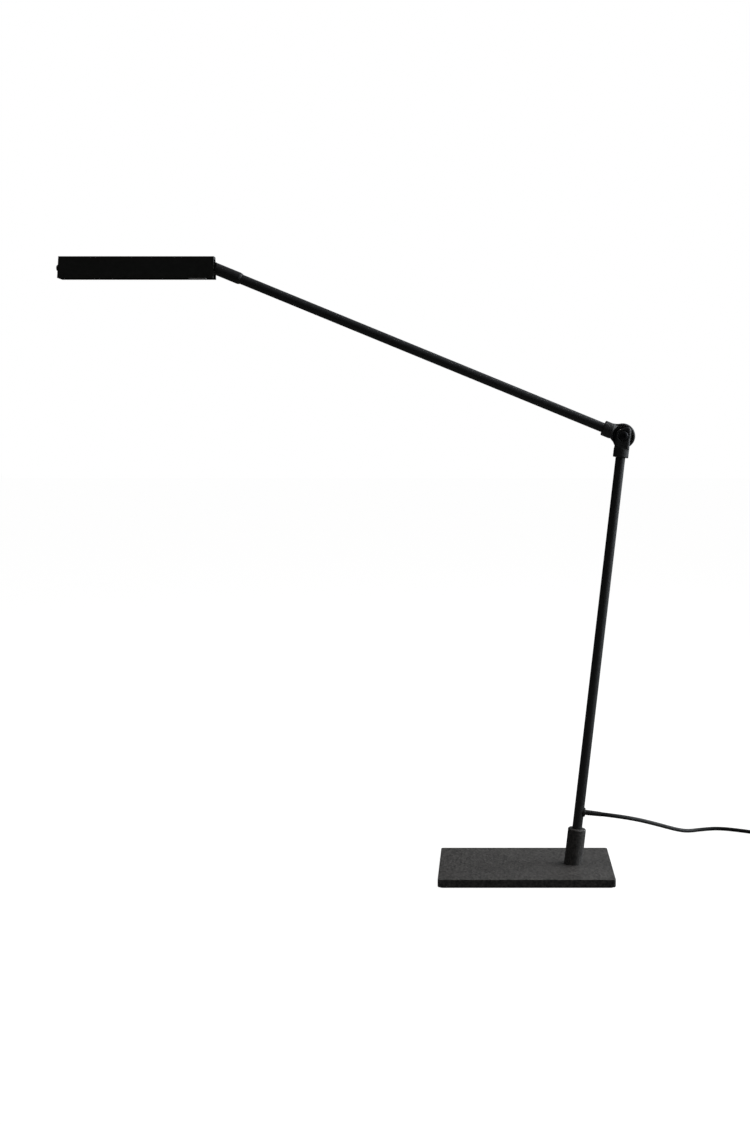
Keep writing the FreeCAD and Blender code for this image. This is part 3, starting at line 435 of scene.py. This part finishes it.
def addCoverScrews():
    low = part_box("service_cover")[0]
    radius, top = coverScrew["radius"], coverScrew["dome"]
    floor = top - coverScrew["recessDepth"]
    profile = [(-coverScrew["sunk"], 0), (-coverScrew["sunk"], radius)]
    profile += [(top * rise, radius * share) for rise, share in coverScrew["domeRows"]]
    profile += [
        (top, coverScrew["recess"] * coverScrew["recessMouth"]),
        (floor, coverScrew["recess"]),
        (floor, 0),
    ]
    screws = []
    for i, ahead in enumerate(coverScrew["ahead"]):
        name = f"coverScrew{i + 1}"
        place = (low.x + ahead, 0.0, low.z)
        mesh = turnedMesh(
            name, profile, place, (0, 0, -1), coverScrew["around"], coverScrew["recessRows"]
        )
        screws.append(addPiece(name, mesh, "head"))
    return screws


coverScrews = addCoverScrews()


# strain relief ribs round the gland's nose

glandRibs = {
    "count": 6,
    "first": 0.0046,
    "step": 0.0026,
    "thickness": 0.0007,
    "stand": 0.00015,
    "edgeDrop": 0.0001,
    "rootSunk": 0.0003,
    "rootFlare": 1.6,
    "rootRadius": 0.0032,
    "endRadius": 0.00275,
    "noseLength": 0.020,
    "around": 28,
    "sharpAngle": 50,
    "weld": 1e-7,
}


def addGlandRibs():
    outward = Vector((math.cos(stemLean), 0, -math.sin(stemLean)))
    noseStart = Vector(mainsCord["free"][0]) - outward * glandRibs["noseLength"]
    taper = glandRibs["endRadius"] - glandRibs["rootRadius"]
    half = glandRibs["thickness"] / 2
    flare = half * glandRibs["rootFlare"]
    form = bmesh.new()
    for i in range(glandRibs["count"]):
        along = glandRibs["first"] + i * glandRibs["step"]
        radius = glandRibs["rootRadius"] + taper * (along / glandRibs["noseLength"])
        root = radius - glandRibs["rootSunk"]
        crown = radius + glandRibs["stand"]
        edge = crown - glandRibs["edgeDrop"]
        profile = [
            (along - flare, root), (along - half, edge), (along, crown),
            (along + half, edge), (along + flare, root), (along - flare, root),
        ]
        rib = turnedMesh("glandRib", profile, noseStart, outward, glandRibs["around"])
        form.from_mesh(rib)
        bpy.data.meshes.remove(rib)
    bmesh.ops.remove_doubles(form, verts=form.verts, dist=glandRibs["weld"])
    mesh = meshFromForm("glandRibs", form)
    smoothMesh(mesh, glandRibs["sharpAngle"])
    return addPiece("glandRibs", mesh, "base")


ribPiece = addGlandRibs()


# mains plug: moulded body with finger grips, ribbed boot

plugForm = {
    "width": 0.0353,
    "thickness": 0.0137,
    "bootLength": 0.024,
    "bodyLength": 0.038,
    # share of the body's length, width share, thickness share
    "stations": [
        (0.00, 0.40, 0.72), (0.03, 0.44, 0.80), (0.14, 0.47, 0.84), (0.26, 0.52, 0.86),
        (0.40, 0.66, 0.90), (0.52, 0.82, 0.95), (0.64, 0.95, 0.99), (0.72, 0.99, 1.0),
        (0.94, 0.99, 1.0), (0.985, 0.985, 0.98), (1.00, 0.95, 0.93),
    ],
    "steps": 44,
    "around": 48,
    "boxiness": 0.62,  # between an ellipse and a rounded box
    "gripRibs": 6,
    "gripFrom": 0.10,
    "gripTo": 0.52,
    "gripDepth": 0.00045,
    "sharpAngle": 60,
}
bootForm = {
    "mouth": [(0.0, 0.0), (0.0, 0.0031), (0.0012, 0.0034)],
    "ribs": 7,
    "first": 0.0022,
    "step": 0.0030,
    "startRadius": 0.0034,
    "growth": 0.0012,
    "endRadius": 0.0046,
    # a groove and the rib behind it: distance along, radius beside the taper
    "groove": [
        (0.0, 0.0), (0.0004, -0.0008), (0.0011, -0.0008), (0.0015, 0.0001), (0.0027, 0.0001),
    ],
    "around": 36,
}


def plugAxes():
    # the boot's start and the plug's direction, from the cord's last two points
    points = cordPoints()
    return points[-1], (points[-1] - points[-2]).normalized()


def stationShares(share):
    # width and thickness shares, eased from one station to the next
    stations = plugForm["stations"]
    following = next(i for i, row in enumerate(stations) if row[0] >= share - 1e-9)
    before, after = stations[max(following - 1, 0)], stations[following]
    mix = 0 if after[0] == before[0] else (share - before[0]) / (after[0] - before[0])
    mix = mix * mix * (3 - 2 * mix)
    return [before[i] + (after[i] - before[i]) * mix for i in (1, 2)]


def gripAt(share):
    if not plugForm["gripFrom"] < share < plugForm["gripTo"]:
        return 0.0
    phase = (share - plugForm["gripFrom"]) / (plugForm["gripTo"] - plugForm["gripFrom"])
    wave = math.cos(2 * math.pi * plugForm["gripRibs"] * phase)
    return plugForm["gripDepth"] * (0.5 - 0.5 * wave)


def addPlugBody():
    start, forward = plugAxes()
    left = up.cross(forward)
    origin = start + forward * plugForm["bootLength"]
    power = plugForm["boxiness"]
    form = bmesh.new()
    rows = []
    for row in range(plugForm["steps"] + 1):
        share = row / plugForm["steps"]
        widthShare, thickShare = stationShares(share)
        halfWidth = plugForm["width"] / 2 * widthShare
        halfThick = plugForm["thickness"] / 2 * thickShare
        grip = gripAt(share)
        centre = origin + forward * (plugForm["bodyLength"] * share)
        ring = []
        for i in range(plugForm["around"]):
            angle = 2 * math.pi * i / plugForm["around"]
            cosine, sine = math.cos(angle), math.sin(angle)
            aside = halfWidth * math.copysign(abs(cosine) ** power, cosine)
            height = halfThick * math.copysign(abs(sine) ** power, sine)
            height -= math.copysign(grip * abs(sine), sine)
            ring.append(form.verts.new(centre + left * aside + up * height))
        rows.append(ring)
    bridgeRows(form, rows, plugForm["around"])
    form.faces.new(rows[0][::-1])
    form.faces.new(rows[-1])
    bmesh.ops.recalc_face_normals(form, faces=form.faces)
    mesh = meshFromForm("plugMoulding", form)
    smoothMesh(mesh, plugForm["sharpAngle"])
    piece = addPiece("plugMoulding", mesh, "base")
    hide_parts("plug_body")
    return piece


def addPlugBoot():
    start, forward = plugAxes()
    length = plugForm["bootLength"]
    profile = list(bootForm["mouth"])
    for i in range(bootForm["ribs"]):
        along = bootForm["first"] + i * bootForm["step"]
        radius = bootForm["startRadius"] + bootForm["growth"] * along / length
        profile += [(along + ahead, radius + stand) for ahead, stand in bootForm["groove"]]
    profile += [(length, bootForm["endRadius"]), (length, 0.0)]
    mesh = turnedMesh("plugBoot", profile, start, forward, bootForm["around"])
    piece = addPiece("plugBoot", mesh, "base")
    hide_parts("plug_boot")
    return piece


plugBody = addPlugBody()
plugBoot = addPlugBoot()
cordPiece = addCord()
print("small pieces made")


# shader node groups

def addNode(tree, kind, values=None, **settings):
    node = tree.nodes.new(kind)
    for key, value in settings.items():
        setattr(node, key, value)
    for socket, value in (values or {}).items():
        node.inputs[socket].default_value = value
    return node


def link(tree, source, output, target, socket):
    tree.links.new(source.outputs[output], target.inputs[socket])


def newGroup(name, inputs, outputs):
    group = bpy.data.node_groups.new(name, "ShaderNodeTree")
    sockets = group.interface
    for label, value in inputs.items():
        socket = sockets.new_socket(name=label, in_out="INPUT", socket_type="NodeSocketFloat")
        socket.default_value = value
    for label in outputs:
        sockets.new_socket(name=label, in_out="OUTPUT", socket_type="NodeSocketFloat")
    return group, group.nodes.new("NodeGroupInput"), group.nodes.new("NodeGroupOutput")


def endMask(group, start, end, strength, noise):
    # strength broken up by noise, times the group's amount
    gate = addNode(group, "ShaderNodeMath", operation="MULTIPLY")
    link(group, strength, "Result", gate, 0)
    link(group, noise, "Fac", gate, 1)
    amount = addNode(group, "ShaderNodeMath", operation="MULTIPLY", use_clamp=True)
    link(group, gate, 0, amount, 0)
    link(group, start, "Amount", amount, 1)
    link(group, amount, 0, end, "Mask")


def buildGrainGroup():
    # fine raised grain: a height, a lightness factor and a mottle mask
    group, start, end = newGroup(
        "surfaceGrain",
        {"Scale": 900.0, "Mottle Scale": 40.0, "Contrast": 0.3},
        ("Height", "Tone", "Mottle"),
    )
    spot = addNode(group, "ShaderNodeTexCoord")
    fine = addNode(group, "ShaderNodeTexNoise", {"Detail": 3.0, "Roughness": 0.6})
    wide = addNode(group, "ShaderNodeTexNoise", {"Detail": 4.0})
    link(group, spot, "Object", fine, "Vector")
    link(group, spot, "Object", wide, "Vector")
    link(group, start, "Scale", fine, "Scale")
    link(group, start, "Mottle Scale", wide, "Scale")
    centred = addNode(group, "ShaderNodeMath", {1: 0.5}, operation="SUBTRACT")
    link(group, fine, "Fac", centred, 0)
    scaled = addNode(group, "ShaderNodeMath", {2: 1.0}, operation="MULTIPLY_ADD")
    link(group, centred, 0, scaled, 0)
    link(group, start, "Contrast", scaled, 1)
    link(group, fine, "Fac", end, "Height")
    link(group, scaled, 0, end, "Tone")
    link(group, wide, "Fac", end, "Mottle")
    return group


def buildWearGroup():
    # rubbed edges from the mesh's own corners
    group, start, end = newGroup("edgeWear", {"Amount": 0.3, "Break Up": 220.0}, ("Mask",))
    shape = addNode(group, "ShaderNodeNewGeometry")
    edge = addNode(group, "ShaderNodeMapRange", {"From Min": 0.52, "From Max": 0.62})
    link(group, shape, "Pointiness", edge, "Value")
    spot = addNode(group, "ShaderNodeTexCoord")
    noise = addNode(group, "ShaderNodeTexNoise")
    link(group, spot, "Object", noise, "Vector")
    link(group, start, "Break Up", noise, "Scale")
    endMask(group, start, end, edge, noise)
    return group


def buildDustGroup():
    # a thin film on what faces up
    group, start, end = newGroup("dustFilm", {"Amount": 0.1, "Scale": 60.0}, ("Mask",))
    shape = addNode(group, "ShaderNodeNewGeometry")
    facing = addNode(group, "ShaderNodeSeparateXYZ")
    link(group, shape, "Normal", facing, 0)
    upward = addNode(group, "ShaderNodeMapRange", {"From Min": 0.35, "From Max": 1.0})
    link(group, facing, "Z", upward, "Value")
    spot = addNode(group, "ShaderNodeTexCoord")
    noise = addNode(group, "ShaderNodeTexNoise", {"Detail": 6.0})
    link(group, spot, "Object", noise, "Vector")
    link(group, start, "Scale", noise, "Scale")
    endMask(group, start, end, upward, noise)
    return group


grainGroup = buildGrainGroup()
wearGroup = buildWearGroup()
dustGroup = buildDustGroup()


# materials

# what a finish leaves out
plainFinish = dict(metallic=0.0, wear=0.0, dust=0.0, specular=0.5)
# depth is the grain's height in metres; worn is the colour of rubbed edges
finishes = {
    "powderCoat": dict(
        colour=(0.0156, 0.0148, 0.0142), worn=(0.035, 0.034, 0.033), rough=0.50,
        scale=420, depth=0.0008, contrast=6.0, wear=0.25, dust=0.02,
    ),
    "tubePaint": dict(
        colour=(0.0034, 0.0036, 0.0040), worn=(0.02, 0.02, 0.02), rough=0.44,
        scale=700, depth=0.00002, contrast=0.5, wear=0.1, dust=0.01, specular=0.6,
    ),
    "castingBlack": dict(
        colour=(0.0040, 0.0039, 0.0042), worn=(0.03, 0.03, 0.03), rough=0.46,
        scale=1500, depth=0.00004, contrast=0.6, wear=0.3, dust=0.01, specular=0.6,
    ),
    "headPaint": dict(
        colour=(0.0010, 0.0009, 0.0006), worn=(0.02, 0.02, 0.02), rough=0.50,
        scale=1300, depth=0.00003, contrast=0.5, wear=0.2, dust=0.008, specular=0.3,
    ),
    "blackPlastic": dict(
        colour=(0.0060, 0.0060, 0.0060), worn=(0.02, 0.02, 0.02), rough=0.55,
        scale=2200, depth=0.00005, contrast=0.3, wear=0.1, dust=0.03, specular=0.45,
    ),
    "cordSheath": dict(
        colour=(0.0042, 0.0042, 0.0044), worn=(0.02, 0.02, 0.02), rough=0.6,
        scale=1500, depth=0.00004, contrast=0.5, dust=0.01, specular=0.22,
    ),
    "padFoam": dict(
        colour=(0.025, 0.025, 0.026), worn=(0.04, 0.04, 0.04), rough=0.85,
        scale=900, depth=0.0002, contrast=0.8, specular=0.2,
    ),
    "zincScrew": dict(
        colour=(0.55, 0.56, 0.57), worn=(0.7, 0.7, 0.7), rough=0.33, metallic=1.0,
        scale=1800, depth=0.00002, contrast=0.2, wear=0.3,
    ),
    "darkScrew": dict(
        colour=(0.022, 0.022, 0.024), worn=(0.3, 0.3, 0.3), rough=0.38, metallic=0.9,
        scale=1800, depth=0.00002, contrast=0.2, wear=0.4,
    ),
    "coverMetal": dict(
        colour=(0.42, 0.41, 0.40), worn=(0.6, 0.6, 0.6), rough=0.4, metallic=0.85,
        scale=1400, depth=0.00003, contrast=0.2, wear=0.2,
    ),
    "spreaderMetal": dict(
        colour=(0.68, 0.69, 0.70), worn=(0.8, 0.8, 0.8), rough=0.38, metallic=1.0,
        scale=900, depth=0.00003, contrast=0.15, wear=0.1,
    ),
    "pinNickel": dict(
        colour=(0.72, 0.69, 0.62), worn=(0.8, 0.78, 0.7), rough=0.22, metallic=1.0,
        scale=1600, depth=0.00001, contrast=0.1, wear=0.2,
    ),
    "opalPanel": dict(
        colour=(0.80, 0.80, 0.77), worn=(0.85, 0.85, 0.85), rough=0.45,
        scale=1500, depth=0.00002, contrast=0.05,
    ),
    "boardWhite": dict(
        colour=(0.80, 0.81, 0.80), worn=(0.8, 0.8, 0.8), rough=0.35,
        scale=1500, depth=0.00001, contrast=0.05,
    ),
    "chipPhosphor": dict(
        colour=(0.82, 0.66, 0.16), worn=(0.85, 0.7, 0.2), rough=0.3,
        scale=2500, depth=0.00001, contrast=0.1,
    ),
    "nylonWasher": dict(
        colour=(0.72, 0.70, 0.62), worn=(0.7, 0.7, 0.6), rough=0.5,
        scale=1500, depth=0.00002, contrast=0.1,
    ),
    "terminalWhite": dict(
        colour=(0.72, 0.72, 0.69), worn=(0.75, 0.75, 0.7), rough=0.42,
        scale=1500, depth=0.00002, contrast=0.1,
    ),
}
slotFinish = {
    "black_paint": "powderCoat", "black_tube": "tubePaint", "casting_black": "castingBlack",
    "soft_pad": "padFoam", "screw_steel": "zincScrew", "dark_screw": "darkScrew",
    "cover_metal": "coverMetal", "black_plastic": "blackPlastic", "cord_sheath": "cordSheath",
    "pin_brass": "pinNickel", "opal": "opalPanel", "board_white": "boardWhite",
    "chip_yellow": "chipPhosphor", "spreader_metal": "spreaderMetal",
    "washer_plastic": "nylonWasher", "white_plastic": "terminalWhite",
}
surface = {
    "mottleCoarser": 14,  # times coarser than the grain
    "mottleRange": (0.3, 0.7),
    "roughSpread": (-0.05, 0.07),
    "bumpStrength": 0.6,
    "dustColour": (0.32, 0.31, 0.30, 1.0),
}


def buildFinish(name):
    values = {**plainFinish, **finishes[name]}
    material = bpy.data.materials.new(name)
    material.use_nodes = True
    material.diffuse_color = (*values["colour"], 1.0)
    tree = material.node_tree
    shader = tree.nodes["Principled BSDF"]
    shader.inputs["Metallic"].default_value = values["metallic"]
    shader.inputs["Specular IOR Level"].default_value = values["specular"]

    grainValues = {
        "Scale": values["scale"],
        "Mottle Scale": values["scale"] / surface["mottleCoarser"],
        "Contrast": values["contrast"],
    }
    grain = addNode(tree, "ShaderNodeGroup", grainValues, node_tree=grainGroup)
    wear = addNode(tree, "ShaderNodeGroup", {"Amount": values["wear"]}, node_tree=wearGroup)
    dust = addNode(tree, "ShaderNodeGroup", {"Amount": values["dust"]}, node_tree=dustGroup)

    toned = addNode(tree, "ShaderNodeVectorMath", {0: values["colour"]}, operation="SCALE")
    link(tree, grain, "Tone", toned, "Scale")
    worn = addNode(tree, "ShaderNodeMix", data_type="RGBA")
    worn.inputs["B"].default_value = (*values["worn"], 1.0)
    link(tree, toned, 0, worn, "A")
    link(tree, wear, "Mask", worn, "Factor")
    dusty = addNode(tree, "ShaderNodeMix", data_type="RGBA")
    dusty.inputs["B"].default_value = surface["dustColour"]
    link(tree, worn, "Result", dusty, "A")
    link(tree, dust, "Mask", dusty, "Factor")
    link(tree, dusty, "Result", shader, "Base Color")

    low, high = surface["mottleRange"]
    smoother, rougher = surface["roughSpread"]
    rough = addNode(tree, "ShaderNodeMapRange", {
        "From Min": low, "From Max": high,
        "To Min": values["rough"] + smoother, "To Max": values["rough"] + rougher,
    })
    link(tree, grain, "Mottle", rough, "Value")
    link(tree, rough, "Result", shader, "Roughness")

    bumpValues = {"Strength": surface["bumpStrength"], "Distance": values["depth"]}
    bump = addNode(tree, "ShaderNodeBump", bumpValues)
    link(tree, grain, "Height", bump, "Height")
    link(tree, bump, "Normal", shader, "Normal")
    return material


materials = {name: buildFinish(name) for name in finishes}


def wearFinish(piece, name):
    piece.data.materials.clear()
    piece.data.materials.append(materials[name])


subparts = frame["record"]["subparts"]
nodeFinish = {part["node"]: slotFinish[part["material_slot"]] for part in subparts}
for name in ("head_housing", "front_cap", "rear_cap"):
    nodeFinish[name] = "headPaint"
for name, node in nodes.items():
    wearFinish(node, nodeFinish[name])
pieceFinish = {
    "cordSheath": (cordPiece, plugBoot, ribPiece),
    "castingBlack": castPieces,
    "zincScrew": coverScrews,
    "blackPlastic": (plugBody,),
}
for name, pieces in pieceFinish.items():
    for piece in pieces:
        wearFinish(piece, name)
print("finishes on", len(nodes), "nodes")


# stage and light

stage = {
    "floorSize": 20,
    "floorDrop": 0.0002,
    "floorTone": 0.045,
    "floorLift": 0.975,
    "ambient": (0.36, 0.35, 0.335),
    "windowTint": (0.90, 0.96, 1.0),
    # what glossy surfaces mirror: dark all round, with a bright lobe
    "glossDark": 0.03,
    "glossBright": 4.4,
    "glossTight": 3.0,
    "glossAim": (0.97, 0.22, 0.0),
}
lamps = {
    "keyLamp": {
        "place": (2.5, 0.35, 0.5), "target": (0, 0, 0.3), "size": 0.9, "power": 95.0,
        "tint": stage["windowTint"], "glossy": False,
    },
    "fillLamp": {
        "place": (-1.8, -1.6, 1.7), "target": (0, 0, 0.3), "size": 1.6, "power": 0.8,
        "tint": (1.0, 1.0, 1.0), "glossy": True,
    },
    "topLamp": {
        "place": (0.9, 0.1, 2.1), "target": (0.05, 0, 0), "size": 1.4, "power": 132.0,
        "tint": (1.0, 1.0, 1.0), "glossy": False,
    },
}


def addRayTest(tree):
    # the ray kinds, and 1 for a ray that the camera sees, also through something clear
    paths = addNode(tree, "ShaderNodeLightPath")
    seen = addNode(tree, "ShaderNodeMath", operation="MAXIMUM")
    link(tree, paths, "Is Camera Ray", seen, 0)
    link(tree, paths, "Is Transmission Ray", seen, 1)
    return paths, seen


def mixShaders(tree, factor, output, first, second):
    mix = addNode(tree, "ShaderNodeMixShader")
    link(tree, factor, output, mix, 0)
    link(tree, first, 0, mix, 1)
    link(tree, second, 0, mix, 2)
    return mix


def addFloor():
    grid = bmesh.new()
    bmesh.ops.create_grid(grid, x_segments=1, y_segments=1, size=stage["floorSize"])
    mesh = meshFromForm("floor", grid)
    floor = linkObject("floor", mesh)
    floor.location.z = -stage["floorDrop"]
    material = bpy.data.materials.new("paleFloor")
    material.use_nodes = True
    tree = material.node_tree
    tree.nodes.clear()
    out = addNode(tree, "ShaderNodeOutputMaterial")
    tone = (*(stage["floorTone"],) * 3, 1.0)
    matt = addNode(tree, "ShaderNodeBsdfDiffuse", {"Color": tone})
    glow = addNode(tree, "ShaderNodeEmission")
    seen = addRayTest(tree)[1]
    lift = addNode(tree, "ShaderNodeMath", {1: stage["floorLift"]}, operation="MULTIPLY")
    link(tree, seen, 0, lift, 0)
    link(tree, lift, 0, glow, "Strength")
    both = addNode(tree, "ShaderNodeAddShader")
    link(tree, matt, 0, both, 0)
    link(tree, glow, 0, both, 1)
    link(tree, both, 0, out, "Surface")
    mesh.materials.append(material)


def addWorld():
    world = bpy.data.worlds.new("studio")
    bpy.context.scene.world = world
    world.use_nodes = True
    tree = world.node_tree
    tree.nodes.clear()
    out = addNode(tree, "ShaderNodeOutputWorld")
    paths, seen = addRayTest(tree)
    spot = addNode(tree, "ShaderNodeTexCoord")
    aimed = Vector(stage["glossAim"]).normalized()
    aim = addNode(tree, "ShaderNodeVectorMath", {1: aimed}, operation="DOT_PRODUCT")
    link(tree, spot, "Generated", aim, 0)
    facing = addNode(tree, "ShaderNodeMath", {1: 0.0}, operation="MAXIMUM")
    link(tree, aim, "Value", facing, 0)
    lobe = addNode(tree, "ShaderNodeMath", {1: stage["glossTight"]}, operation="POWER")
    link(tree, facing, 0, lobe, 0)
    sideValues = {1: stage["glossBright"], 2: stage["glossDark"]}
    side = addNode(tree, "ShaderNodeMath", sideValues, operation="MULTIPLY_ADD")
    link(tree, lobe, 0, side, 0)
    glossy = addNode(tree, "ShaderNodeMath", operation="MULTIPLY")
    link(tree, paths, "Is Glossy Ray", glossy, 0)
    link(tree, side, 0, glossy, 1)
    light = addNode(tree, "ShaderNodeBackground", {"Color": (*stage["ambient"], 1.0)})
    mirror = addNode(tree, "ShaderNodeBackground", {"Color": (*stage["windowTint"], 1.0)})
    link(tree, glossy, 0, mirror, "Strength")
    white = addNode(tree, "ShaderNodeBackground", {"Color": (1.0, 1.0, 1.0, 1.0)})
    lit = mixShaders(tree, paths, "Is Glossy Ray", light, mirror)
    shown = mixShaders(tree, seen, 0, lit, white)
    link(tree, shown, 0, out, "Surface")


def addLamp(name, place, target, size, power, tint, glossy):
    data = bpy.data.lights.new(name, "AREA")
    data.shape = "DISK"
    data.size = size
    data.energy = power
    data.color = tint
    lamp = linkObject(name, data)
    lamp.location = place
    aim = Vector(target) - Vector(place)
    lamp.rotation_euler = aim.to_track_quat("-Z", "Y").to_euler()
    lamp.visible_glossy = glossy


addFloor()
addWorld()
for name, lamp in lamps.items():
    addLamp(name, **lamp)
bpy.context.scene.view_settings.view_transform = "Standard"
print("stage and light set")


# bring the view layer up to date

bpy.context.view_layer.update()
